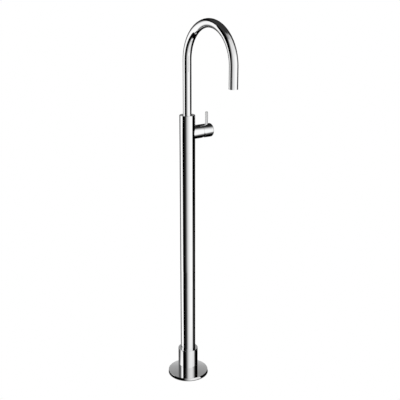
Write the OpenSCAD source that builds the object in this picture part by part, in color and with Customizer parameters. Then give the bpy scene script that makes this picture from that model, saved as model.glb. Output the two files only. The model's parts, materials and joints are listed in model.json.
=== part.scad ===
// Floor-standing basin mixer: a tall pipe column with a swivelling swan-neck spout
// and a side valve whose cap turns for temperature and tilts for flow.
// Millimetres, +Z up. The origin is on the column's axis at the floor, the spout
// reaches towards -Y and the valve stands out towards +X.

/* [Column] */
// Outer diameter of the column pipe and of the valve housing
column_d = 48; // [44:1:54]
// Wall of the column pipe
column_wall = 2; // [1.5:0.25:2.5]
// Height of the seam between the pipe and the valve housing
seam_z = 760; // [600:5:800]
// Height of the flat top of the valve housing above its seam
housing_h = 115; // [105:1:140]
// Length of the spigots that go into the two ends of the pipe
spigot_l = 25; // [20:1:40]

/* [Floor fixing] */
// Thickness of the floor plate
plate_t = 6; // [4:0.5:8]
// Height of the floor fitting, which the pipe stands over
core_h = 78; // [60:1:95]
// Distance from the middle of a floor screw to the plate's edge
screw_edge = 10; // [7:0.5:13]
// Diameter of each floor screw hole
plate_hole_d = 7; // [5:0.5:8]
// Number of floor screws
plate_holes = 4; // [3:1:6]
// Outer diameter of the cover flange
flange_d = 130; // [126:1:150]
// Width of the flange's rim, which stands on the floor round the plate
rim_w = 8; // [5:0.5:10]
// Height of the cover flange's top above the floor
flange_h = 9; // [8.5:0.5:14]
// Thickness of the cover flange over the plate
flange_web = 2.5; // [1.5:0.25:2.5]
// Thickness of the sealing ring under the flange's rim
gasket_t = 1; // [0.5:0.25:2]
// Outer diameter of the collar over the foot of the column
collar_d = 64; // [60:1:72]
// Height of the collar's top above the floor
collar_h = 90; // [85:1:120]
// Wall of the collar
collar_wall = 2.5; // [1.5:0.25:4]
// Height of the thick rim at the collar's top
collar_rim_h = 11; // [9:0.5:16]
// Section of the sealing ring in the collar
collar_seal_t = 1.8; // [1.5:0.1:2.2]
// Height of the screws that lock the pipe to the floor fitting
lock_z = 50; // [44:1:60]
// Diameter of the lock screws' thread
lock_d = 5; // [4:0.5:6]
// Number of lock screws
lock_count = 3; // [2:1:4]
// Length of the lock screws
lock_l = 5; // [4:0.5:6]

/* [Water supply] */
// Distance between the hot and the cold inlet
inlet_pitch = 19; // [18:0.2:21]
// Core diameter of the inlet threads, for G3/8 tails
inlet_d = 15; // [12:0.1:15.5]
// Depth of the inlet threads
inlet_depth = 14; // [10:0.5:16]
// Outer diameter of the two pipes inside the column
pipe_d = 10; // [8:0.5:11]
// Wall of those pipes
pipe_wall = 1; // [0.75:0.25:1.5]
// Depth of the socket at each end of a pipe
socket_depth = 20; // [16:1:24]
// Section of the sealing rings on the pipes
pipe_seal_t = 1.8; // [1.5:0.1:2]
// Height of the narrow waterway between an inlet and its pipe
inlet_step = 8; // [6:0.5:10]
// Diameter of the hot and cold waterways in the valve housing
way_d = 7; // [5:0.5:7.5]
// Diameter of the mixed water's way to the spout
mixed_d = 8; // [6:0.5:8]

/* [Spout] */
// Outer diameter of the spout's tube
spout_d = 26; // [24:0.5:28]
// Wall of the spout's tube
spout_wall = 1.5; // [1:0.25:2]
// Radius of the swan neck on the tube's centreline
arch_r = 112.5; // [80:0.5:150]
// Height where the straight riser meets the swan neck
arch_z = 1040; // [960:5:1120]
// Height of the outlet's lower edge
outlet_z = 980; // [940:5:1000]
// How deep the tube stands in the housing
spout_seat = 3; // [2:0.5:5]
// Diameter of the spout's foot, which turns in the housing
foot_d = 20; // [18:0.5:21]
// Length of the foot below the tube
foot_l = 28; // [26:1:30]
// How far the spout swivels each way
swivel = 60; // [20:5:80]
// Diameter of the waterway through the foot
foot_bore = 12; // [9:0.5:13]
// Length of the foot's plug, which is brazed into the tube
plug_l = 20; // [12:1:30]
// Section of the foot's sealing rings
foot_seal_t = 2; // [1.5:0.1:2]
// Thickness of the slide ring under the tube
slide_t = 1; // [0.5:0.25:2]
// Diameter of the stop screw's tip
stop_d = 3; // [2:0.5:4]
// Depth of the stop screw's groove in the foot
stop_groove = 1.8; // [1.4:0.1:2]

/* [Valve] */
// Height of the valve's axis below the housing's top
valve_drop = 56; // [50:1:60]
// Outer diameter of the valve barrel and the cap
barrel_d = 42; // [41:0.5:44]
// Distance from the column's axis to the seam of the cap
cap_seam_x = 50; // [49:0.5:56]
// Distance from the column's axis to the cap's end face
cap_end_x = 86.5; // [84:0.5:100]
// Width of the seam from the top to the axis, where the cap comes closest to the barrel
seam_gap = 0.5; // [0.5:0.1:1]
// Width of the seam at the bottom, where it has opened for the tilt
notch_gap = 12; // [10:0.5:14]
// Full tilt of the cap
tilt_max = 22; // [10:1:22]
// How far the cap turns each way
turn_max = 45; // [15:5:60]
// Diameter of the domed cover inside the seam
dome_d = 37; // [36:0.5:37]
// Wall of the domed cover
dome_wall = 1.5; // [1:0.25:2]
// Diameter of the domed cover's opening for the tilting stem
dome_open_d = 31; // [30:0.5:32]
// Diameter of the lever pin
lever_d = 8.5; // [7:0.5:10]
// Distance from the column's axis to the lever pin
lever_x = 72; // [70:0.5:76]
// Height of the lever pin's tip above the valve's axis
lever_top = 58; // [45:1:80]
// How deep the lever pin stands in the cap
lever_seat = 4; // [3:0.5:6]
// Diameter of the lever pin's stud and of the set screw opposite
stud_d = 5; // [4:0.5:6]
// Length of the set screw that clamps the stem
cap_screw_l = 8; // [6:0.5:12]
// Thickness of the cap's end behind the stem
cap_end_t = 6; // [3:0.5:8]

/* [Cartridge] */
// Distance from the column's axis to the cartridge's seat
seat_x = 20; // [19:0.5:21]
// Diameter of the cartridge
cartridge_d = 35; // [34:0.5:35]
// Length of the cartridge's wide part
cartridge_l = 24; // [23.5:0.25:24.5]
// Wall of the cartridge's case
case_wall = 2; // [1.5:0.25:2.5]
// Diameter of the cartridge's neck
neck_d = 26; // [24.5:0.5:27]
// Distance from the tilt pin to the neck's end
neck_out = 9; // [7:0.5:9.5]
// Thickness of the cartridge's bottom plate
bottom_t = 5; // [4:0.25:5]
// Thickness of each ceramic disc
disc_t = 3.5; // [2.5:0.25:3.5]
// Diameter of the moving ceramic disc
moving_d = 23; // [20:0.5:24]
// Diameter of each port through the cartridge
port_d = 5.6; // [4.5:0.1:6]
// Distance from the ceramic discs to the stem's ball
ball_in = 6.3; // [6.1:0.1:6.8]
// Diameter of the stem's ball
ball_d = 5.6; // [5:0.1:6]
// Diameter of the stem's round shank behind the ball
shank_d = 4.4; // [3.5:0.1:4.6]
// Thickness of the disc carrier
carrier_t = 7.2; // [6.8:0.1:7.4]
// Diameter of the rotor in the cartridge's neck
rotor_d = 21; // [20.5:0.1:21.5]
// Thickness of the rotor's flange
rotor_flange_t = 2.5; // [2:0.1:2.7]
// Length of the rotor's slot for the tilting stem
slot_l = 17.8; // [17.6:0.1:18.4]
// Side of the square lever stem
stem_w = 8; // [6:0.25:8]
// Diameter of the tilt pin
hinge_d = 3; // [2:0.25:3.5]
// Thickness of the nut that holds the cartridge
nut_t = 3.5; // [3:0.25:3.5]

/* [Aerator] */
// Inner diameter of the threaded insert in the outlet
insert_bore = 20; // [18:0.5:21]
// Length of the threaded insert
insert_l = 14; // [12:0.5:20]
// Wall of the aerator's shell
aerator_wall = 1.4; // [1:0.1:2]
// Height of the aerator's shell
aerator_h = 10; // [8:0.5:11]
// Diameter of each hole of the jet former
jet_d = 2; // [1.5:0.1:2.4]
// Distance between the jet former's holes
jet_pitch = 2.9; // [2.7:0.1:3.4]
// Rings of holes round the middle one
jet_rings = 2; // [1:1:2]

/* [Hidden] */
$fn = 96;

// Clearances
slip = 0.05;     // radial, between pieces that turn or slide in one another
ease = 0.1;      // radial, between fixed pieces that slip together
cap_play = 0.5;  // radial, where the cap passes over the domed cover
stem_play = 0.15; // between the square stem and each side of the rotor's slot
face_gap = 0.2;  // between faces that must not touch
rim_play = 1;    // radial, between the flange's rim and the floor plate
seal_room = 0.3; // above and below a sealing ring in its groove
eps = 1;         // overrun of a cut past a face

// Small turned details
edge = 0.6;          // bevel or rounding on turned edges
seam_bevel = 0.3;    // bevels that meet at the seam between pipe and housing
gasket_inset = 1;    // how far the flange's gasket stays behind the rim's edges
core_wall = 3;       // wall round the hollow top of the floor fitting
set_back = 1;        // how far a set screw stays below the surface
key_depth = 3;       // depth of the stop screw's hexagon socket and of the nut's slots
key_slot_w = 3;      // width of the nut's key slots
stop_step = 0.5;     // how far the stop screw's thread stands out past its tip
foot_seal_low = 5;   // from the foot's lower end to its lower sealing ring
foot_seal_high = 4;  // from the slide ring down to the foot's upper sealing ring
stop_spare = 1.5;    // degrees of groove past the swivel's limits
cap_round = 2;       // rounding of the cap's end
lever_round = 0.8;   // rounding of the lever pin's tip
stud_short = 1.5;    // how far the lever pin's stud stays off the stem
pocket_d = 11;       // mixing pocket in the moving disc
pocket_down = 1.5;   // its offset from the disc's middle
shank_past = 1.5;    // how far the stem's shank reaches past the rotor's flange

// Derived heights and radii
column_r = column_d / 2;
pipe_bore_r = column_r - column_wall;
top_z = seam_z + housing_h;
valve_z = top_z - valve_drop;
barrel_r = barrel_d / 2;
spout_r = spout_d / 2;
spout_bore_r = spout_r - spout_wall;
foot_r = foot_d / 2;
spigot_r = pipe_bore_r - ease;
inlet_y = inlet_pitch / 2;
supply_r = pipe_d / 2;
supply_low_z = inlet_depth + inlet_step;
supply_high_z = seam_z - spigot_l + socket_depth;
channel_r = supply_r - pipe_wall;
rim_in_r = flange_d / 2 - rim_w;
plate_d = 2 * (rim_in_r - rim_play);
collar_seal_z = collar_h - collar_rim_h / 2;
plate_pcd = plate_d - 2 * screw_edge;
tube_low_z = top_z - spout_seat;
foot_low_z = tube_low_z - slide_t - foot_l;
foot_seal_z = [foot_low_z + foot_seal_low, foot_low_z + foot_l - foot_seal_high];
stop_z = foot_low_z + foot_l / 2;
stop_thread_d = stop_d + 2 * stop_step;

// Derived places along the valve's axis
pivot_x = cap_seam_x;
dome_r = dome_d / 2;
bottom_x = seat_x + bottom_t;
fixed_x = bottom_x + disc_t;
moving_x = fixed_x + disc_t;
ball_x = moving_x + ball_in;
ball_r = ball_d / 2;
stem_arm = pivot_x - ball_x;
disc_travel = stem_arm * sin(tilt_max);
rotor_x = moving_x + carrier_t + 2 * face_gap;
rotor_end_x = rotor_x + rotor_flange_t;
shoulder_x = seat_x + cartridge_l;
neck_x = pivot_x + neck_out;
cavity_r = cartridge_d / 2 - case_wall;
rotor_r = rotor_d / 2;
slot_w = stem_w + 2 * stem_play;
square_x = rotor_end_x + shank_past;
nut_x = shoulder_x + nut_t;
cap_wall = 1.5;      // between the cap's hollow and the lever pin's seat
cap_solid_x = lever_x - lever_d / 2 - cap_wall;
stem_end_x = cap_end_x - cap_end_t;
barrel_end_wall = 2; // wall of the barrel round the nut and the domed cover
bore_end_r = barrel_r - barrel_end_wall;
stud_r = stud_d / 2;

// Places of the cartridge's ports and pegs, in line with the waterways
way_r = way_d / 2;
mixed_r = mixed_d / 2;
port_r = port_d / 2;
port_up = 4;
mixed_down = 7;
port_out = 0.7 * inlet_y;
port_seal_w = 1.5;
port_seal_t = 1.4;
peg_d = 3.5;
peg_l = 3;
peg_down = 9;
peg_out = 10;

// The carrier's two tongues, measured from the stem's middle
tongue_up = 2.9;
tongue_down = 4.4;
tongue_t = 1.4;
tongue_h = 2.6;

// Details of the aerator
aerator_r = insert_bore / 2 - ease;
jet_r = aerator_r - aerator_wall - slip;
key_notches = 12;
key_notch_d = 1.6;
washer_t = 2;
washer_w = 2;
washer_proud = 0.5;

// A ring between two radii, standing on z = 0
module ring(r_out, r_in, h) {
    difference() {
        cylinder(r = r_out, h = h);
        translate([0, 0, -eps]) cylinder(r = r_in, h = h + 2 * eps);
    }
}

// A turned rod from z_low to z_high, with a bevel round its lower and upper end
module rod(r, z_low, z_high, low_bevel, high_bevel) {
    rotate_extrude() polygon([
        [0, z_low], [r - low_bevel, z_low], [r, z_low + low_bevel],
        [r, z_high - high_bevel], [r - high_bevel, z_high], [0, z_high]
    ]);
}

// A round rubber ring lying in the plane z = 0
module seal_ring(r_mid, t) {
    rotate_extrude() translate([r_mid, 0]) circle(d = t, $fn = 32);
}

// Room for a sealing ring of section t at height z, cut between two radii
module seal_groove(r_out, r_in, t, z) {
    translate([0, 0, z - t / 2 - seal_room]) ring(r_out, r_in, t + 2 * seal_room);
}

// Puts its children on the valve's axis, with their +Z outwards and their -X up
module on_valve(x) {
    translate([x, 0, valve_z]) rotate([0, 90, 0]) children();
}

// Repeats its children on the hot and the cold side
module both_sides() {
    for (side = [-1, 1]) translate([0, side * inlet_y, 0]) children();
}

// Repeats its children, pointing outwards, at the lock screws' places
module at_locks() {
    for (i = [0 : lock_count - 1]) rotate(i * 360 / lock_count + 90)
        translate([0, 0, lock_z]) rotate([0, 90, 0]) children();
}

// A set screw with a hexagon socket at its top end, pointing down from z = 0
module set_screw(d, l, key) {
    difference() {
        mirror([0, 0, 1]) rod(d / 2, 0, l, 0, edge);
        translate([0, 0, -l / 2]) cylinder(d = key, h = l, $fn = 6);
    }
}

// Floor plate with screw holes, brazed round the floor fitting
module floor_plate() {
    color("darkgoldenrod") difference() {
        ring(plate_d / 2, pipe_bore_r, plate_t);
        for (i = [0 : plate_holes - 1]) rotate(i * 360 / plate_holes + 45)
            translate([plate_pcd / 2, 0, -eps])
                cylinder(d = plate_hole_d, h = plate_t + 2 * eps);
    }
}

// Floor fitting: a turned post with the two inlets and the sockets of the pipes
module floor_fitting() {
    socket_r = supply_r + slip;
    color("darkgoldenrod") difference() {
        rod(spigot_r, 0, core_h, 0, edge);
        both_sides() {
            translate([0, 0, -eps]) cylinder(d = inlet_d, h = inlet_depth + eps);
            cylinder(r = channel_r, h = supply_low_z + eps);
            translate([0, 0, supply_low_z]) cylinder(r = socket_r, h = core_h);
            seal_groove(supply_r + pipe_seal_t, channel_r, pipe_seal_t,
                        supply_low_z + socket_depth / 2);
        }
        translate([0, 0, supply_low_z + socket_depth])
            cylinder(r = spigot_r - core_wall, h = core_h);
        at_locks() cylinder(d = lock_d, h = column_d);
    }
}

// Flat rubber ring under the flange's rim
module flange_gasket() {
    color("#222222")
        ring(flange_d / 2 - gasket_inset, rim_in_r + gasket_inset, gasket_t);
}

// Cover flange: a shallow turned dish over the floor plate
module base_flange() {
    r = flange_d / 2;
    bore = column_r + ease;
    under = flange_h - flange_web;
    color("silver") rotate_extrude($fn = 180) difference() {
        union() {
            translate([bore, gasket_t]) square([r - bore - edge, flange_h - gasket_t]);
            translate([r - 2 * edge, gasket_t])
                square([2 * edge, flange_h - gasket_t - edge]);
            translate([r - edge, flange_h - edge]) circle(r = edge, $fn = 24);
        }
        translate([0, gasket_t - eps]) square([rim_in_r, under - gasket_t + eps]);
    }
}

// Collar: a sleeve with a thick rim that holds a sealing ring against the pipe
module base_collar() {
    r = collar_d / 2;
    bore = column_r + ease;
    groove_h = collar_seal_t + 2 * seal_room;
    color("silver") rotate_extrude() difference() {
        union() {
            translate([bore, flange_h])
                square([r - bore, collar_h - flange_h - edge]);
            translate([bore, flange_h])
                square([r - bore - edge, collar_h - flange_h]);
            translate([r - edge, collar_h - edge]) circle(r = edge, $fn = 24);
        }
        translate([0, flange_h - eps])
            square([r - collar_wall, collar_h - collar_rim_h - flange_h + eps]);
        translate([0, collar_seal_z - groove_h / 2])
            square([column_r + collar_seal_t, groove_h]);
    }
}

// Rubber ring in the collar's groove
module collar_ring() {
    color("#222222") translate([0, 0, collar_seal_z])
        seal_ring(column_r + collar_seal_t / 2, collar_seal_t);
}

// Set screws that lock the pipe to the floor fitting, hidden by the collar
module lock_screws() {
    color("dimgray") at_locks() translate([0, 0, column_r - edge])
        set_screw(lock_d - 2 * slip, lock_l, lock_d / 2);
}

// Column pipe, standing on the floor plate, with a bevel at the seam
module column_pipe() {
    color("silver") difference() {
        rod(column_r, plate_t, seam_z, 0, seam_bevel);
        cylinder(r = pipe_bore_r, h = seam_z + eps);
        at_locks() cylinder(d = lock_d + 2 * slip, h = column_d);
    }
}

// Hot and cold pipes inside the column
module supply_pipes() {
    color("peru") both_sides() translate([0, 0, supply_low_z])
        ring(supply_r, channel_r, supply_high_z - supply_low_z);
}

// Sealing rings round both ends of the supply pipes
module supply_seals() {
    ends = [supply_low_z + socket_depth / 2, supply_high_z - socket_depth / 2];
    color("#222222") both_sides() for (z = ends) translate([0, 0, z])
        seal_ring(supply_r + pipe_seal_t / 2, pipe_seal_t);
}

// Valve housing: column top and side barrel in one casting
module valve_housing() {
    color("silver") difference() {
        union() {
            rod(spigot_r, seam_z - spigot_l, seam_z + eps, edge, 0);
            rod(column_r, seam_z, top_z, seam_bevel, edge);
            on_valve(0) cylinder(r = barrel_r, h = cap_seam_x);
        }
        supply_ways();
        spout_seat_cut();
        cartridge_seat_cut();
    }
}

// Waterways from the supply pipes to the cartridge, and on to the spout
module supply_ways() {
    both_sides() {
        translate([0, 0, seam_z - spigot_l - eps])
            cylinder(r = supply_r + slip, h = supply_high_z - seam_z + spigot_l + eps);
        seal_groove(supply_r + pipe_seal_t, channel_r, pipe_seal_t,
                    supply_high_z - socket_depth / 2);
        translate([0, 0, seam_z - spigot_l])
            cylinder(r = way_r, h = valve_z + port_up - seam_z + spigot_l);
        translate([0, 0, valve_z + port_up]) {
            sphere(r = way_r);
            rotate([0, 90, 0]) cylinder(r = way_r, h = seat_x + eps);
        }
    }
    translate([0, 0, valve_z - mixed_down]) {
        sphere(r = mixed_r);
        cylinder(r = mixed_r, h = valve_drop);
        rotate([0, 90, 0]) cylinder(r = mixed_r, h = seat_x + eps);
    }
}

// Room for the spout's foot, its slide ring, the tube's end and the stop screw
module spout_seat_cut() {
    translate([0, 0, tube_low_z - slide_t]) cylinder(r = spout_r + face_gap, h = housing_h);
    translate([0, 0, foot_low_z - face_gap]) cylinder(r = foot_r + slip, h = housing_h);
    translate([0, 0, stop_z]) rotate([-90, 0, 0]) cylinder(d = stop_thread_d, h = column_d);
}

// Room for the cartridge, its nut and the dome's skirt, and holes for its pegs
module cartridge_seat_cut() {
    on_valve(seat_x) {
        cylinder(r = cartridge_d / 2 + ease, h = cap_seam_x);
        translate([0, 0, cartridge_l]) cylinder(r = bore_end_r, h = cap_seam_x);
        pegs(peg_d + 2 * ease, peg_l + face_gap);
    }
}

// Two round pegs that set the cartridge's angle
module pegs(d, l) {
    for (side = [-1, 1]) translate([peg_down, side * peg_out, -l]) cylinder(d = d, h = l + eps);
}

// Plastic ring that the spout turns on
module slide_ring() {
    color("whitesmoke") translate([0, 0, tube_low_z - slide_t])
        ring(spout_r, foot_r + 2 * ease, slide_t);
}

// Screw at the back of the housing, whose tip limits the swivel
module stop_screw() {
    tip_r = foot_r - stop_groove + face_gap;
    end_r = column_r - set_back;
    shank = stop_thread_d - 2 * slip;
    color("dimgray") translate([0, 0, stop_z]) rotate([-90, 0, 0]) difference() {
        union() {
            translate([0, 0, tip_r]) cylinder(d = stop_d, h = end_r - key_depth - tip_r);
            translate([0, 0, foot_r + set_back])
                cylinder(d = shank, h = end_r - foot_r - set_back);
        }
        translate([0, 0, end_r - key_depth]) cylinder(d = shank / 2, h = 2 * key_depth, $fn = 6);
    }
}

// The tube's path, swept with a round section of radius r
module spout_path(r, over) {
    translate([0, 0, tube_low_z - over]) cylinder(r = r, h = arch_z - tube_low_z + over);
    translate([0, -arch_r, arch_z]) rotate([90, 0, 90])
        rotate_extrude(angle = 180, $fn = 180) translate([arch_r, 0]) circle(r = r);
    translate([0, -2 * arch_r, outlet_z - over])
        cylinder(r = r, h = arch_z - outlet_z + over);
}

// Swan-neck spout
module spout_tube() {
    color("silver") difference() {
        spout_path(spout_r, 0);
        spout_path(spout_bore_r, eps);
    }
}

// Turned foot, brazed into the tube, with grooves for two rings and the stop screw
module spout_foot() {
    groove_r = foot_r - stop_groove;
    half = swivel + asin(stop_d / 2 / groove_r) + stop_spare;
    color("goldenrod") difference() {
        union() {
            translate([0, 0, foot_low_z]) cylinder(r = foot_r, h = foot_l + slide_t + eps);
            translate([0, 0, tube_low_z]) cylinder(r = spout_bore_r, h = plug_l);
        }
        translate([0, 0, foot_low_z - eps]) cylinder(d = foot_bore, h = foot_l + 2 * plug_l);
        for (z = foot_seal_z)
            seal_groove(foot_r + eps, foot_r - foot_seal_t + slip, foot_seal_t, z);
        translate([0, 0, stop_z - stop_d / 2 - face_gap]) rotate([0, 0, 90 - half])
            rotate_extrude(angle = 2 * half) translate([groove_r, 0])
                square([stop_groove + eps, stop_d + 2 * face_gap]);
    }
}

// Sealing rings in the foot's grooves
module foot_seals() {
    color("#222222") for (z = foot_seal_z) translate([0, 0, z])
        seal_ring(foot_r + slip - foot_seal_t / 2 - slip / 2, foot_seal_t - slip);
}

// Puts its children at the outlet's lower edge
module at_outlet() {
    translate([0, -2 * arch_r, outlet_z]) children();
}

// Threaded ring brazed into the outlet
module outlet_insert() {
    color("goldenrod") at_outlet() translate([0, 0, edge])
        ring(spout_bore_r, insert_bore / 2, insert_l);
}

// Aerator shell, screwed into the insert, with an inner step that holds the jet former
module aerator_shell() {
    color("gray") at_outlet() translate([0, 0, 2 * edge]) difference() {
        cylinder(r = aerator_r, h = aerator_h);
        translate([0, 0, -eps])
            cylinder(r = aerator_r - 2 * aerator_wall, h = aerator_h + 2 * eps);
        translate([0, 0, aerator_wall]) cylinder(r = aerator_r - aerator_wall, h = aerator_h);
        for (a = [0 : 360 / key_notches : 359]) rotate(a) translate([aerator_r, 0, -eps])
            cylinder(d = key_notch_d, h = aerator_wall + eps, $fn = 16);
    }
}

// Plastic disc with a hexagonal field of holes
module jet_former() {
    color("lightgray") at_outlet() translate([0, 0, 2 * edge + aerator_wall]) difference() {
        cylinder(r = jet_r, h = aerator_h - aerator_wall - washer_t);
        for (u = [-jet_rings : jet_rings], v = [-jet_rings : jet_rings])
            if (abs(u + v) <= jet_rings)
                translate([(u + v / 2) * jet_pitch, v * jet_pitch * sqrt(3) / 2, -eps])
                    cylinder(d = jet_d, h = aerator_h, $fn = 16);
    }
}

// Rubber washer on top of the jet former
module aerator_washer() {
    color("#222222") at_outlet() translate([0, 0, 2 * edge + aerator_h - washer_t])
        ring(jet_r, jet_r - washer_w, washer_t + washer_proud);
}

// The cartridge's three ports, as holes from z = 0 up
module ports(r, h) {
    for (side = [-1, 1]) translate([-port_up, side * port_out, 0]) cylinder(r = r, h = h);
    translate([mixed_down, 0, 0]) cylinder(r = r, h = h);
}

// Bottom plate of the cartridge, with ports, seal recesses and pegs
module cartridge_bottom() {
    color("ivory") on_valve(seat_x) difference() {
        union() {
            cylinder(r = cartridge_d / 2, h = bottom_t);
            pegs(peg_d, peg_l);
        }
        translate([0, 0, -eps]) ports(port_r, bottom_t + 2 * eps);
        translate([0, 0, -eps]) ports(port_r + port_seal_w + ease, port_seal_t + eps);
    }
}

// Rubber rings between the ports and the housing
module port_seals() {
    color("#222222") on_valve(seat_x) difference() {
        ports(port_r + port_seal_w, port_seal_t);
        translate([0, 0, -eps]) ports(port_r, port_seal_t + 2 * eps);
    }
}

// Case of the cartridge: a wide cup with a shoulder and a neck
module cartridge_case() {
    color("ivory") on_valve(0) rotate_extrude() difference() {
        union() {
            translate([0, bottom_x]) square([cartridge_d / 2, shoulder_x - bottom_x]);
            translate([0, bottom_x]) square([neck_d / 2, neck_x - bottom_x]);
        }
        translate([-eps, bottom_x - eps])
            square([cavity_r + eps, rotor_end_x + face_gap - bottom_x + eps]);
        translate([-eps, bottom_x]) square([rotor_r + slip + eps, neck_x]);
    }
}

// Fixed ceramic disc with the three ports
module fixed_disc() {
    color("white") on_valve(bottom_x) difference() {
        cylinder(r = cavity_r - ease, h = disc_t);
        translate([0, 0, -eps]) ports(port_r, disc_t + 2 * eps);
    }
}

// Moving ceramic disc with a mixing pocket on its sealing side
module moving_disc() {
    color("white") on_valve(fixed_x) translate([disc_travel / 2, 0, 0]) difference() {
        cylinder(d = moving_d, h = disc_t);
        translate([pocket_down, 0, -eps]) cylinder(d = pocket_d, h = disc_t / 2 + eps);
    }
}

// Carrier that the stem's ball slides, with two tongues in the rotor's slot
module disc_carrier() {
    color("tan") on_valve(moving_x) {
        difference() {
            translate([disc_travel / 2, 0, 0]) cylinder(d = moving_d, h = carrier_t);
            translate([0, 0, face_gap]) cylinder(r = ball_r + face_gap, h = carrier_t);
        }
        tongue(-tongue_up - tongue_t);
        tongue(tongue_down);
    }
}

// One of the carrier's tongues, reaching into the rotor's slot
module tongue(x) {
    translate([x, -stem_w / 2, carrier_t - eps]) cube([tongue_t, stem_w, tongue_h + eps]);
}

// Rotor that turns in the neck and carries the tilt pin
module cartridge_rotor() {
    color("lightsteelblue") on_valve(0) difference() {
        union() {
            translate([0, 0, rotor_x])
                cylinder(r = cavity_r - ease, h = rotor_end_x - rotor_x);
            translate([0, 0, rotor_x]) cylinder(r = rotor_r, h = neck_x - rotor_x);
        }
        translate([-slot_l / 2, -slot_w / 2, rotor_x - eps])
            cube([slot_l, slot_w, neck_x - rotor_x + 2 * eps]);
        translate([0, 0, pivot_x]) rotate([90, 0, 0])
            cylinder(d = hinge_d, h = 3 * rotor_r, center = true);
    }
}

// Cross pin that the stem tilts on
module tilt_pin() {
    color("dimgray") on_valve(pivot_x) rotate([90, 0, 0])
        cylinder(d = hinge_d, h = 2 * (rotor_r - set_back), center = true);
}

// Square stem with a ball at its inner end
module lever_stem() {
    color("darkgray") difference() {
        union() {
            on_valve(ball_x) sphere(d = ball_d, $fn = 48);
            on_valve(ball_x) cylinder(d = shank_d, h = square_x - ball_x + eps);
            on_valve(square_x) translate([-stem_w / 2, -stem_w / 2, 0])
                cube([stem_w, stem_w, stem_end_x - square_x]);
        }
        on_valve(pivot_x) rotate([90, 0, 0])
            cylinder(d = hinge_d + 2 * slip, h = 2 * stem_w, center = true);
    }
}

// Ring nut that holds the cartridge in the barrel, with four key slots
module cartridge_nut() {
    color("goldenrod") on_valve(shoulder_x) difference() {
        ring(bore_end_r - slip, neck_d / 2 + ease, nut_t);
        for (a = [45 : 90 : 315]) rotate(a)
            translate([bore_end_r - key_depth, -key_slot_w / 2, nut_t - key_slot_w / 2])
                cube([2 * key_depth, key_slot_w, key_slot_w]);
    }
}

// Domed cover over the nut, round the tilt's centre
module dome_cover() {
    skirt_end = cap_seam_x - face_gap;
    color("silver") on_valve(0) rotate_extrude() difference() {
        union() {
            intersection() {
                translate([0, pivot_x]) circle(r = dome_r);
                translate([0, skirt_end - eps]) square([dome_r, 2 * dome_r]);
            }
            translate([0, nut_x + face_gap])
                square([bore_end_r - slip, skirt_end - nut_x - face_gap]);
        }
        translate([0, pivot_x]) circle(r = dome_r - dome_wall);
        translate([-dome_d, 0]) square([dome_d, cap_end_x]);
        translate([-eps, pivot_x]) square([dome_open_d / 2 + eps, 2 * dome_r]);
    }
}

// Handle cap: a turned cup on the square stem, whose open end is cut away on the
// slant from the axis down, so that it can tilt
module handle_cap() {
    start_x = cap_seam_x + seam_gap;
    slant = atan((notch_gap - seam_gap) / barrel_r);
    hole = stem_w + 2 * ease;
    color("silver") difference() {
        on_valve(start_x) rotate_extrude() difference() {
            union() {
                square([barrel_r, cap_end_x - start_x - cap_round]);
                square([barrel_r - cap_round, cap_end_x - start_x]);
                translate([barrel_r - cap_round, cap_end_x - start_x - cap_round])
                    circle(r = cap_round, $fn = 48);
            }
            translate([-eps, -eps])
                square([dome_r + cap_play + eps, cap_solid_x - start_x + eps]);
            translate([-2 * barrel_r, -eps]) square([2 * barrel_r, 2 * cap_end_x]);
        }
        translate([start_x, 0, valve_z]) rotate([0, -slant, 0])
            translate([-barrel_d, -barrel_d, -2 * barrel_d])
                cube([barrel_d, 2 * barrel_d, 3 * barrel_d]);
        on_valve(cap_solid_x - eps) translate([-hole / 2, -hole / 2, 0])
            cube([hole, hole, stem_end_x + face_gap - cap_solid_x + eps]);
        translate([lever_x, 0, valve_z + barrel_r - lever_seat])
            cylinder(d = lever_d + 2 * slip, h = barrel_r);
        translate([lever_x, 0, valve_z - 2 * barrel_r])
            cylinder(r = stud_r + slip, h = 3 * barrel_r);
    }
}

// Lever pin with a threaded stud at its foot
module lever_pin() {
    r = lever_d / 2;
    foot = barrel_r - lever_seat;
    color("silver") translate([lever_x, 0, valve_z]) rotate_extrude($fn = 64) union() {
        translate([0, foot]) square([r, lever_top - foot - lever_round]);
        translate([0, foot]) square([r - lever_round, lever_top - foot]);
        translate([r - lever_round, lever_top - lever_round]) intersection() {
            circle(r = lever_round, $fn = 32);
            square(lever_round);
        }
        translate([0, stem_w / 2 + stud_short]) square([stud_r, foot - stem_w / 2]);
    }
}

// Set screw from below that clamps the stem
module cap_screw() {
    color("dimgray") translate([lever_x, 0, valve_z - stem_w / 2 - cap_screw_l])
        mirror([0, 0, 1]) set_screw(stud_d, cap_screw_l, stud_r);
}

floor_plate();
floor_fitting();
flange_gasket();
base_flange();
base_collar();
collar_ring();
lock_screws();
column_pipe();
supply_pipes();
supply_seals();
valve_housing();
slide_ring();
stop_screw();
spout_tube();
spout_foot();
foot_seals();
outlet_insert();
aerator_shell();
jet_former();
aerator_washer();
cartridge_bottom();
port_seals();
cartridge_case();
fixed_disc();
moving_disc();
disc_carrier();
cartridge_rotor();
tilt_pin();
lever_stem();
cartridge_nut();
dome_cover();
handle_cap();
lever_pin();
cap_screw();
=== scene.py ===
"""Looks of the floor-standing basin mixer: finishes, camera, floor and studio.

The chrome shows a studio that the camera doesn't see: a painted world far away and thin
glowing sheets close by. Lengths are in metres and angles in degrees. A bearing is an angle
round the column from the camera's side, positive towards the picture's right, and a level
is a brightness as displayed, from 0 to 255.
"""
import json
import math

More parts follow.
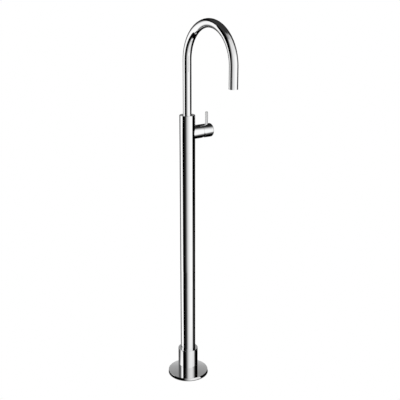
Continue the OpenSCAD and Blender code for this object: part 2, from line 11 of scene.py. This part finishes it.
import bpy
from mathutils import Matrix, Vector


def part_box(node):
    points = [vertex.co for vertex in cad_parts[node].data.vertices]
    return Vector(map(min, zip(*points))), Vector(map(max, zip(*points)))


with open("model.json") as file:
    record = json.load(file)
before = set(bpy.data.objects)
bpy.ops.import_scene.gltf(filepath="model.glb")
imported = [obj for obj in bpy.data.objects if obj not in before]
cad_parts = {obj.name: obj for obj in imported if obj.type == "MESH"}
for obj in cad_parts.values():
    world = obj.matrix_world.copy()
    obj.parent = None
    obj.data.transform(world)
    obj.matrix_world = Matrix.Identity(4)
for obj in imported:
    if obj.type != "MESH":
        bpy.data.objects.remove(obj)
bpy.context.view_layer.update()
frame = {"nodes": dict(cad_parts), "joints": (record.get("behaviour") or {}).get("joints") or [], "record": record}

scene = bpy.context.scene
nodes = frame["nodes"]

# Sizes of the mixer that the studio and the finishes follow
FLANGE_RADIUS = round(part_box("base_flange")[1].x, 4)
HANDLE_HEIGHT = next(joint["pos_m"][2] for joint in frame["joints"]
                     if joint["name"] == "temperature_turn")

# Camera, as fitted to the photograph's outlines
CAMERA_AZIMUTH = -34.35     # where the camera stands, round the column, 0 in front
CAMERA_DISTANCE = 2.194     # from the column's axis, along the floor
CAMERA_HEIGHT = 1.284
CAMERA_PAN = 1.02           # how far right of the column's axis it looks
CAMERA_PITCH = 17.2         # how far down it looks
CAMERA_ROLL = 0.11
CLIP_START, CLIP_END = 0.05, 50
FOCAL_PIXELS = 731.5        # focal length in the photograph's pixels
PHOTO_WIDTH = 400           # in pixels
SENSOR_MM = 36.0
TOWARDS_CAMERA = CAMERA_AZIMUTH - 90    # bearing 0 as an angle from +X

# The far studio: levels by bearing, higher up and low down, where only the front differs
WALLS_LEFT = [
    (-180, 8), (-165, 40), (-130, 66), (-118, 200), (-113, 248), (-105, 255), (-48, 255),
    (-38, 60), (-20, 90),
]
WALLS_FRONT = [(-5, 172), (8, 214), (20, 230), (32, 246), (45, 254), (72, 255), (100, 245)]
WALLS_FRONT_LOW = [
    (-5, 165), (8, 207), (20, 226), (32, 235), (45, 234), (56, 224), (70, 202), (100, 190),
]
WALLS_RIGHT = [(106, 0), (180, 0)]
WALLS = WALLS_LEFT + WALLS_FRONT + WALLS_RIGHT
WALLS_LOW = WALLS_LEFT + WALLS_FRONT_LOW + WALLS_RIGHT
LOW_FROM, LOW_TO = -26, -31     # angles above the level between which the low walls take over
# A dimmer level that the studio turns to upwards, and its share by angle above the level
UP_LEVEL = 150
UP = [(15, 0.0), (28, 0.2), (45, 0.3), (57, 0.5), (68, 0.85), (75, 1.0)]
STRAIGHT_UP = 90
# The dark floor of the studio, seen straight down
DOWN_FROM, DOWN_TO, DOWN_LEVEL = -63, -69, 5

# A dark canopy: its levels by height, and its lower edge by bearing, which leaves the front
# open on the right. Its top runs in to a small hole in the middle.
CANOPY_RADIUS, CANOPY_HOLE, CANOPY_TOP = 2.5, 0.01, 9.0
CANOPY_STEP = 6             # bearing between two points of its edge
CANOPY = [(2.0, 12), (3.2, 14), (3.8, 52), (5.5, 54), (9.0, 50)]
CANOPY_EDGE = [
    (-180, 2.0), (-130, 2.2), (-100, 2.5), (-38, 2.5), (-28, 8.99), (88, 8.99), (96, 3.1),
    (150, 2.6), (180, 2.1),
]

# A graded screen close in front on the left, with its left edge as (height, bearing). Its
# levels go by bearing, and each change gives others that take over between two heights.
SCREEN_RADIUS, SCREEN_RIGHT, SCREEN_COLUMNS = 0.48, 25, 40
SCREEN_LEFT = [
    (-0.5, -62), (-0.163, -62), (-0.157, -75), (-0.05, -75), (0.3, -76), (0.55, -76),
    (0.72, -76), (0.78, -73), (0.9, -70), (1.05, -70), (1.15, -74), (1.22, -79), (1.3, -80),
    (1.55, -79),
]
SCREEN = [
    (-36, 0), (-28, 14), (-20, 53), (-13, 113), (-7, 152), (0, 190), (6, 212), (17, 232),
    (25, 240),
]
SCREEN_CHANGES = [
    (-0.165, -0.155, [(-47, 0), (-43, 24), (-31, 28), (-21, 46), (-13, 118), (-5, 160),
                      (0, 194), (8, 212), (16, 230), (25, 240)]),
    (0.08, 0.22, [(-47, 0), (-43, 24), (-31, 34), (-21, 76), (-13, 145), (-5, 172),
                  (0, 200), (8, 214), (16, 230), (25, 240)]),
    (0.74, 0.9, [(-36, 0), (-29, 14), (-20, 70), (-12, 142), (-5, 174), (0, 200),
                 (8, 214), (16, 230), (25, 240)]),
    (1.05, 1.15, [(-23, 0), (-17, 45), (-9, 125), (-4, 166), (2, 195), (8, 212),
                  (16, 228), (25, 238)]),
]

# A black screen on the right, with a soft left edge that is graded in the same way
RIGHT_RADIUS, RIGHT_LOW, RIGHT_TOP, RIGHT_FROM, RIGHT_TO = 0.83, -0.7, 2.0, 68, 172
RIGHT = [(67, 250), (74, 218), (80, 162), (86, 92), (92, 42), (98, 10), (106, 0)]
RIGHT_CHANGES = [
    (0.15, 0.36, [(73, 254), (76, 235), (78.5, 140), (81, 20), (84, 0)]),
    (0.85, 1.15, [(73, 254), (76, 232), (79, 212), (82, 190), (85, 165), (89, 136),
                  (97, 76), (107, 40), (150, 30)]),
]

# Two pale level sheets close behind the object, dark above, which the flat tops show. How
# far they reach to each side of bearing 180, and their levels, go by the distance from the
# column's axis.
SHEETS = [
    {"height": 0.2,
     "reach": [(0.15, 22), (0.2, 21), (0.28, 18), (0.42, 15)],
     "levels": [(0.15, 150), (0.24, 150), (0.27, 143), (0.3, 144), (0.35, 164),
                (0.385, 192), (0.405, 210)]},
    {"height": 0.9,
     "reach": [(0.095, 22), (0.175, 14)],
     "levels": [(0.095, 125), (0.175, 125)]},
]
SHEET_COLUMNS, SHEET_BACK_LEVEL = 8, 5
BACK_GAP = 0.0001           # between the two sides of a level sheet or ring

# A level ring round the foot. The collar shows its underside by way of the flange, and what
# stands above it shows its top.
RING_HEIGHT, RING_IN, RING_OUT = 0.2, 0.28, 0.42
RING_BELOW = [
    (-140, 84), (-124, 92), (-111, 84), (-102.5, 84), (-95, 108), (-89, 162), (-82.5, 215),
    (-77, 252), (-64.5, 255), (-58.5, 0), (-40, 0), (-31.5, 14), (-20, 60), (-7, 142),
    (0, 190), (15, 214), (29, 225), (41.5, 226), (55, 210), (62, 192), (68.5, 168),
    (74.5, 132), (82, 66), (90, 10), (97, 0), (125, 0),
]
RING_ABOVE = [
    (-140, 50), (-120, 110), (-111, 246), (-75, 255), (-73.5, 0), (-46, 0), (-42, 24),
    (-30, 28), (-20.5, 46), (-12.5, 118), (-5, 160), (0, 194), (8, 212), (17, 232),
    (25, 240), (32, 246), (45, 254), (68, 252), (75, 218), (81, 90), (87, 30), (95, 4),
    (125, 0),
]
BAND_STEP = 3               # bearing between two points of a band

# A dark strip on the floor round the flange, open in front on the right, which only the chrome
# shows: painted shade of the floor next to the flange
STRIP_IN = FLANGE_RADIUS + 0.0003
STRIP_OUT = FLANGE_RADIUS + 0.0155
STRIP_FROM, STRIP_TO, STRIP_LEVEL = 43, 348, 3
# A shade on the floor behind on the left, outside the strip
SHADE_IN = STRIP_OUT + 0.0001
SHADE_OUT = 0.2
SHADE = [(-180, 60), (-115, 66), (-103, 112), (-92, 180), (-82, 236), (-74, 254)]
# How far the two lie above the floor
STRIP_HEIGHT, SHADE_HEIGHT = 0.0002, 0.0001

# The floor, from its middle to its sides, and its grey for the light
FLOOR_HALF = 6.0
FLOOR_GREY = (0.8, 0.8, 0.8, 1)
# The thin shadow where the flange meets the floor: the radii where it is full and where it
# ends, the radius that its ramp reaches to, and how far its middle lies towards a bearing
SHADOW_FULL = FLANGE_RADIUS + 0.0002
SHADOW_END = FLANGE_RADIUS + 0.0018
SHADOW_REACH = 0.1
SHADOW_LEVEL = 20
SHADOW_SHIFT, SHADOW_BEARING = 0.0007, 40

# Surface patterns in waves per metre, and the depth of the marks in the surface
HAZE_WAVES, TINT_WAVES, TURNING_WAVES, SKIN_WAVES, CLOUD_WAVES = 90, 14, 700, 900, 60
MARK_DEPTH = 0.00005
# How strong the marks are on turned metal and on a moulded skin
TURNING_STRENGTH, SKIN_STRENGTH = 0.06, 0.2
# The part by which the roughness of each kind of finish varies
CHROME_VARIES, SATIN_VARIES, MATT_VARIES = 0.3, 0.2, 0.1
CHROME_ROUGHNESS = 0.025
CHROME_DIM, CHROME_BRIGHT = (0.965, 0.97, 0.975), (0.99, 0.99, 0.99)
# Painted shade for the deep shadow in the handle's notch: the part of the light that the dome gives
# back, and the part that the wall of the handle's bore gives back where it is darkened as painted
# shade, with its radius and its end along +X
DOME_PART, BORE_PART = 0.08, 0.06
BORE_RADIUS, BORE_END = 0.0193, 0.08


def opaque(colour):
    """The four numbers of a colour or a grey."""
    return (*colour, 1) if isinstance(colour, tuple) else (colour, colour, colour, 1)


class Tree:
    """A node tree with short calls for adding and joining nodes."""

    def __init__(self, tree):
        self.nodes, self.links = tree.nodes, tree.links
        self.nodes.clear()

    def add(self, kind, **values):
        node = self.nodes.new(kind)
        for name, value in values.items():
            node.inputs[name].default_value = value
        return node

    def feed(self, socket, value):
        """Gives a socket a number, a grey or what another node puts out."""
        if not isinstance(value, (int, float)):
            self.links.new(value, socket)
        elif socket.type == "RGBA":
            socket.default_value = opaque(value)
        else:
            socket.default_value = value

    def split(self, vector):
        node = self.add("ShaderNodeSeparateXYZ")
        self.feed(node.inputs[0], vector)
        return node.outputs

    def math(self, operation, *values):
        node = self.add("ShaderNodeMath")
        node.operation = operation
        for socket, value in zip(node.inputs, values):
            self.feed(socket, value)
        return node.outputs[0]

    def length(self, *sides):
        squares = [self.math("MULTIPLY", side, side) for side in sides]
        return self.math("SQRT", self.math("ADD", *squares))

    def between(self, value, start, end):
        """How far a value has gone from start to end, 0 to 1."""
        share = self.math("DIVIDE", self.math("SUBTRACT", value, start), end - start)
        return self.math("MINIMUM", self.math("MAXIMUM", share, 0.0), 1.0)

    def mix(self, factor, low, high):
        """A colour between two others, which are sockets or greys."""
        node = self.add("ShaderNodeMix")
        node.data_type = "RGBA"
        self.feed(node.inputs["Factor"], factor)
        for socket, value in zip(node.inputs[6:8], (low, high)):
            self.feed(socket, value)
        return node.outputs[2]

    def ramp(self, factor, stops):
        """A colour that goes through stops, each a place from 0 to 1 and a grey or colour."""
        node = self.add("ShaderNodeValToRGB")
        elements = node.color_ramp.elements
        while len(elements) > 1:
            elements.remove(elements[-1])
        for i, (place, colour) in enumerate(stops):
            element = elements[0] if i == 0 else elements.new(place)
            element.position = place
            element.color = opaque(colour)
        self.feed(node.inputs[0], factor)
        return node.outputs[0]

    def by_ray(self, seen, otherwise, out):
        """Puts out one shader for what the camera sees and another for all other light."""
        both = self.add("ShaderNodeMixShader")
        self.feed(both.inputs[0], self.add("ShaderNodeLightPath").outputs["Is Camera Ray"])
        self.feed(both.inputs[1], otherwise.outputs[0])
        self.feed(both.inputs[2], seen.outputs[0])
        self.feed(out.inputs["Surface"], both.outputs[0])


def linear(level):
    """Scene brightness of a displayed level."""
    v = level / 255
    return v / 12.92 if v <= 0.04045 else ((v + 0.055) / 1.055) ** 2.4


def bearing_share(t, x, y):
    """The bearing of a direction or place as a share of a full turn, 0.5 at bearing 0."""
    bearing = t.math("SUBTRACT", t.math("ARCTAN2", y, x), math.radians(TOWARDS_CAMERA))
    turns = t.math("DIVIDE", bearing, 2 * math.pi)
    return t.math("FRACT", t.math("ADD", turns, 0.5))


def bearing_stops(pairs):
    return [((bearing + 180) / 360, linear(level)) for bearing, level in pairs]


def at_bearing(bearing, radius, height):
    angle = math.radians(TOWARDS_CAMERA + bearing)
    return (radius * math.cos(angle), radius * math.sin(angle), height)


def along(start, end, steps):
    """Numbers in equal steps from start to end, both included."""
    return [start + (end - start) * i / steps for i in range(steps + 1)]


def make_camera():
    data = bpy.data.cameras.new("camera")
    data.sensor_width = SENSOR_MM
    data.lens = FOCAL_PIXELS / PHOTO_WIDTH * SENSOR_MM
    data.clip_start = CLIP_START
    data.clip_end = CLIP_END
    camera = bpy.data.objects.new("camera", data)
    scene.collection.objects.link(camera)
    azimuth = math.radians(CAMERA_AZIMUTH)
    place = Matrix.Translation((CAMERA_DISTANCE * math.sin(azimuth),
                                -CAMERA_DISTANCE * math.cos(azimuth), CAMERA_HEIGHT))
    turn = Matrix.Rotation(azimuth - math.radians(CAMERA_PAN), 4, "Z")
    tip = Matrix.Rotation(math.radians(90 - CAMERA_PITCH), 4, "X")
    roll = Matrix.Rotation(math.radians(CAMERA_ROLL), 4, "Z")
    camera.matrix_world = place @ turn @ tip @ roll
    scene.camera = camera


def studio_colour(t, x, y, z):
    """The colour of the far studio in a direction."""
    share = bearing_share(t, x, y)
    height = t.math("DEGREES", t.math("ARCSINE", z))
    walls = t.mix(t.between(height, LOW_FROM, LOW_TO), t.ramp(share, bearing_stops(WALLS)),
                  t.ramp(share, bearing_stops(WALLS_LOW)))
    up = t.ramp(t.math("DIVIDE", height, STRAIGHT_UP),
                [(angle / STRAIGHT_UP, part) for angle, part in UP])
    walls = t.mix(up, walls, linear(UP_LEVEL))
    return t.mix(t.between(height, DOWN_FROM, DOWN_TO), walls, linear(DOWN_LEVEL))


def make_world():
    """A white studio with dark flags, which only the reflections see."""
    world = bpy.data.worlds.new("studio")
    scene.world = world
    world.use_nodes = True
    t = Tree(world.node_tree)
    out = t.add("ShaderNodeOutputWorld")
    direction = t.add("ShaderNodeTexCoord").outputs["Generated"]
    studio = t.add("ShaderNodeBackground", Strength=1.0)
    t.feed(studio.inputs["Color"], studio_colour(t, *t.split(direction)))
    white = t.add("ShaderNodeBackground", Color=(1, 1, 1, 1), Strength=1.0)
    t.by_ray(white, studio, out)


def new_material(name):
    """A material with its empty tree and its output."""
    material = bpy.data.materials.new(name)
    material.use_nodes = True
    t = Tree(material.node_tree)
    return material, t, t.add("ShaderNodeOutputMaterial")


def new_object(name, points, faces, material):
    mesh = bpy.data.meshes.new(name)
    mesh.from_pydata(points, [], faces)
    mesh.materials.append(material)
    thing = bpy.data.objects.new(name, mesh)
    scene.collection.objects.link(thing)
    return thing


def reflected_only(name, rows, paint):
    """A part of the studio that only the chrome shows: a grid of points and its colour."""
    material, t, out = new_material(name)
    glow = t.add("ShaderNodeEmission", Strength=1.0)
    place = t.add("ShaderNodeTexCoord").outputs["Object"]
    t.feed(glow.inputs["Color"], paint(t, *t.split(place)))
    t.feed(out.inputs["Surface"], glow.outputs[0])
    columns = len(rows[0])
    corners = [i * columns + j for i in range(len(rows) - 1) for j in range(columns - 1)]
    faces = [(n, n + 1, n + columns + 1, n + columns) for n in corners]
    sheet = new_object(name, [point for row in rows for point in row], faces, material)
    for kind in ("camera", "diffuse", "transmission", "volume_scatter", "shadow"):
        setattr(sheet, "visible_" + kind, False)


def by_bearing(levels, changes=()):
    """Paints by bearing, each change taking over from the last levels between two heights."""
    def paint(t, x, y, z):
        share = bearing_share(t, x, y)
        colour = t.ramp(share, bearing_stops(levels))
        for start, end, others in changes:
            colour = t.mix(t.between(z, start, end), colour,
                           t.ramp(share, bearing_stops(others)))
        return colour
    return paint


def by_height(levels):
    top = levels[-1][0]
    stops = [(height / top, linear(level)) for height, level in levels]
    return lambda t, x, y, z: t.ramp(t.math("DIVIDE", z, top), stops)


def by_distance(levels):
    """Paints by the distance from the column's axis, up to one metre."""
    stops = [(distance, linear(level)) for distance, level in levels]
    return lambda t, x, y, z: t.ramp(t.length(x, y), stops)


def evenly(level):
    return by_distance([(0, level), (1, level)])


def band(start, end, *edges):
    """Points of a band between two bearings, with the radius and height of its two edges."""
    bearings = along(start, end, math.ceil((end - start) / BAND_STEP))
    return [[at_bearing(bearing, radius, height) for bearing in bearings]
            for radius, height in edges]


def make_front_screen():
    rows = [[at_bearing(bearing, SCREEN_RADIUS, height)
             for bearing in along(left, SCREEN_RIGHT, SCREEN_COLUMNS)]
            for height, left in SCREEN_LEFT]
    reflected_only("front_screen", rows, by_bearing(SCREEN, SCREEN_CHANGES))


def make_canopy():
    around = []
    for (start, low), (end, high) in zip(CANOPY_EDGE, CANOPY_EDGE[1:]):
        steps = max(1, round((end - start) / CANOPY_STEP))
        around += list(zip(along(start, end, steps), along(low, high, steps)))[:-1]
    around.append(CANOPY_EDGE[-1])
    rows = [[at_bearing(bearing, CANOPY_RADIUS, edge) for bearing, edge in around],
            [at_bearing(bearing, CANOPY_RADIUS, CANOPY_TOP) for bearing, edge in around],
            [at_bearing(bearing, CANOPY_HOLE, CANOPY_TOP) for bearing, edge in around]]
    reflected_only("canopy", rows, by_height(CANOPY))


def make_level_sheets():
    for i, sheet in enumerate(SHEETS, 1):
        rows = [[at_bearing(bearing, distance, sheet["height"])
                 for bearing in along(180 - reach, 180 + reach, SHEET_COLUMNS)]
                for distance, reach in sheet["reach"]]
        reflected_only(f"sheet_{i}", rows, by_distance(sheet["levels"]))
        above = [[(x, y, z + BACK_GAP) for x, y, z in row] for row in rows]
        reflected_only(f"sheet_back_{i}", above, evenly(SHEET_BACK_LEVEL))


def make_right_screen():
    rows = band(RIGHT_FROM, RIGHT_TO, (RIGHT_RADIUS, RIGHT_LOW), (RIGHT_RADIUS, RIGHT_TOP))
    reflected_only("right_screen", rows, by_bearing(RIGHT, RIGHT_CHANGES))


def make_level_band(name, height, inner, outer, levels):
    """A level band between two radii, as long as its levels by bearing say."""
    rows = band(levels[0][0], levels[-1][0], (inner, height), (outer, height))
    reflected_only(name, rows, by_bearing(levels))


# The dark strip is painted shade of the floor next to the flange, as the chrome shows it
def make_floor_shadow_strip():
    rows = band(STRIP_FROM, STRIP_TO, (STRIP_IN, STRIP_HEIGHT), (STRIP_OUT, STRIP_HEIGHT))
    reflected_only("floor_shadow_strip", rows, evenly(STRIP_LEVEL))


def make_screens():
    """The near parts of the studio, which the chrome shows from place to place."""
    make_front_screen()
    make_canopy()
    make_level_sheets()
    make_right_screen()
    make_level_band("ring_below", RING_HEIGHT, RING_IN, RING_OUT, RING_BELOW)
    make_level_band("ring_above", RING_HEIGHT + BACK_GAP, RING_IN, RING_OUT, RING_ABOVE)
    make_level_band("floor_shade", SHADE_HEIGHT, SHADE_IN, SHADE_OUT, SHADE)
    make_floor_shadow_strip()


def floor_colour(t, x, y):
    """White, with the thin shadow round the flange."""
    middle = at_bearing(SHADOW_BEARING, SHADOW_SHIFT, 0)
    radius = t.length(t.math("SUBTRACT", x, middle[0]), t.math("SUBTRACT", y, middle[1]))
    return t.ramp(t.math("DIVIDE", radius, SHADOW_REACH),
                  [(SHADOW_FULL / SHADOW_REACH, linear(SHADOW_LEVEL)),
                   (SHADOW_END / SHADOW_REACH, 1.0)])


def make_floor():
    """A white floor that keeps a faint shadow and doesn't show in the chrome."""
    material, t, out = new_material("floor_white")
    white = t.add("ShaderNodeEmission", Strength=1.0)
    place = t.add("ShaderNodeTexCoord").outputs["Object"]
    x, y, z = t.split(place)
    t.feed(white.inputs["Color"], floor_colour(t, x, y))
    t.by_ray(white, t.add("ShaderNodeBsdfDiffuse", Color=FLOOR_GREY), out)
    half = FLOOR_HALF
    corners = [(-half, -half, 0), (half, -half, 0), (half, half, 0), (-half, half, 0)]
    floor = new_object("floor", corners, [(0, 1, 2, 3)], material)
    floor.visible_glossy = False


def new_finish(name, metallic):
    """A material of the mixer, with its tree, its shader and the place on the object."""
    material, t, out = new_material(name)
    shader = t.add("ShaderNodeBsdfPrincipled", Metallic=metallic)
    t.feed(out.inputs["Surface"], shader.outputs[0])
    return material, t, shader, t.add("ShaderNodeTexCoord").outputs["Object"]


def noise(t, place, waves, detail):
    node = t.add("ShaderNodeTexNoise", Scale=waves, Detail=detail)
    t.feed(node.inputs["Vector"], place)
    return node.outputs["Fac"]


def follow(t, pattern, low, high, reach=0.2):
    """A grey or colour that goes from low to high with a pattern, which varies round 0.5."""
    return t.ramp(pattern, [(0.5 - reach, low), (0.5 + reach, high)])


def less_and_more(value, part):
    return value * (1 - part), value * (1 + part)


def bump(t, shader, height, strength):
    node = t.add("ShaderNodeBump", Strength=strength, Distance=MARK_DEPTH)
    t.feed(node.inputs["Height"], height)
    t.feed(shader.inputs["Normal"], node.outputs[0])


def inside_bore(t, place):
    """1 on the wall of the handle's bore, which is darkened as painted shade, and 0 elsewhere."""
    x, y, z = t.split(place)
    off_axis = t.length(y, t.math("SUBTRACT", z, HANDLE_HEIGHT))
    return t.math("MULTIPLY", t.math("LESS_THAN", off_axis, BORE_RADIUS),
                  t.math("LESS_THAN", x, BORE_END))


def chrome(name, part=1.0, hollow=False):
    """Polished plate: a mirror with faint haze and a trace of polishing waves. It gives back
    a part of the light, which is small where it stands for painted shade, and a hollow one
    is darkened inside the handle's bore as painted shade."""
    material, t, shader, place = new_finish(name, 1.0)
    smooth, hazy = less_and_more(CHROME_ROUGHNESS, CHROME_VARIES)
    haze = noise(t, place, HAZE_WAVES, detail=3)
    t.feed(shader.inputs["Roughness"], follow(t, haze, smooth, hazy, reach=0.15))
    tint = noise(t, place, TINT_WAVES, detail=2)
    dim = tuple(part * value for value in CHROME_DIM)
    bright = tuple(part * value for value in CHROME_BRIGHT)
    colour = follow(t, tint, dim, bright)
    edge = part
    if hollow:
        inside = inside_bore(t, place)
        colour = t.mix(inside, colour, BORE_PART)
        edge = t.mix(inside, part, BORE_PART)
    t.feed(shader.inputs["Base Color"], colour)
    t.feed(shader.inputs["Specular Tint"], edge)
    return material


def satin(name, dark, light, rough):
    """Unplated metal with fine turning marks."""
    material, t, shader, place = new_finish(name, 1.0)
    grain = noise(t, place, TURNING_WAVES, detail=3)
    low, high = less_and_more(rough, SATIN_VARIES)
    t.feed(shader.inputs["Base Color"], follow(t, grain, dark, light))
    t.feed(shader.inputs["Roughness"], follow(t, grain, low, high))
    bump(t, shader, grain, TURNING_STRENGTH)
    return material


def matt(name, dark, light, rough):
    """Moulded rubber, plastic or fired ceramic with a fine skin."""
    material, t, shader, place = new_finish(name, 0.0)
    skin = noise(t, place, SKIN_WAVES, detail=4)
    cloud = noise(t, place, CLOUD_WAVES, detail=2)
    low, high = less_and_more(rough, MATT_VARIES)
    t.feed(shader.inputs["Base Color"], follow(t, cloud, dark, light))
    t.feed(shader.inputs["Roughness"], follow(t, skin, low, high))
    bump(t, shader, skin, SKIN_STRENGTH)
    return material


def make_materials():
    """The finishes by the material slots of the record."""
    return {
        "chrome": chrome("polished_chrome"),
        "bare_brass": satin("turned_brass", (0.62, 0.46, 0.2), (0.74, 0.57, 0.29), 0.3),
        "steel": satin("stainless_steel", (0.5, 0.5, 0.51), (0.62, 0.62, 0.63), 0.28),
        "rubber": matt("black_rubber", (0.018, 0.018, 0.019), (0.035, 0.035, 0.036), 0.7),
        "plastic": matt("moulded_plastic", (0.74, 0.73, 0.69), (0.82, 0.81, 0.77), 0.45),
        "ceramic_disc": matt("fired_ceramic", (0.85, 0.84, 0.82), (0.9, 0.9, 0.88), 0.2),
    }


def dress_nodes(materials):
    """Gives each solid the finish that the record names for it."""
    for entry in frame["record"]["subparts"]:
        mesh = nodes[entry["node"]].data
        mesh.materials.clear()
        mesh.materials.append(materials[entry["material_slot"]])
    # The dome and the wall of the cap's bore are darkened as painted shade of the handle's notch
    nodes["dome_cover"].data.materials[0] = chrome("notch_shade_chrome", part=DOME_PART)
    nodes["handle_cap"].data.materials[0] = chrome("cap_chrome", hollow=True)


make_camera()
make_world()
make_floor()
make_screens()
dress_nodes(make_materials())
scene.view_settings.view_transform = "Standard"
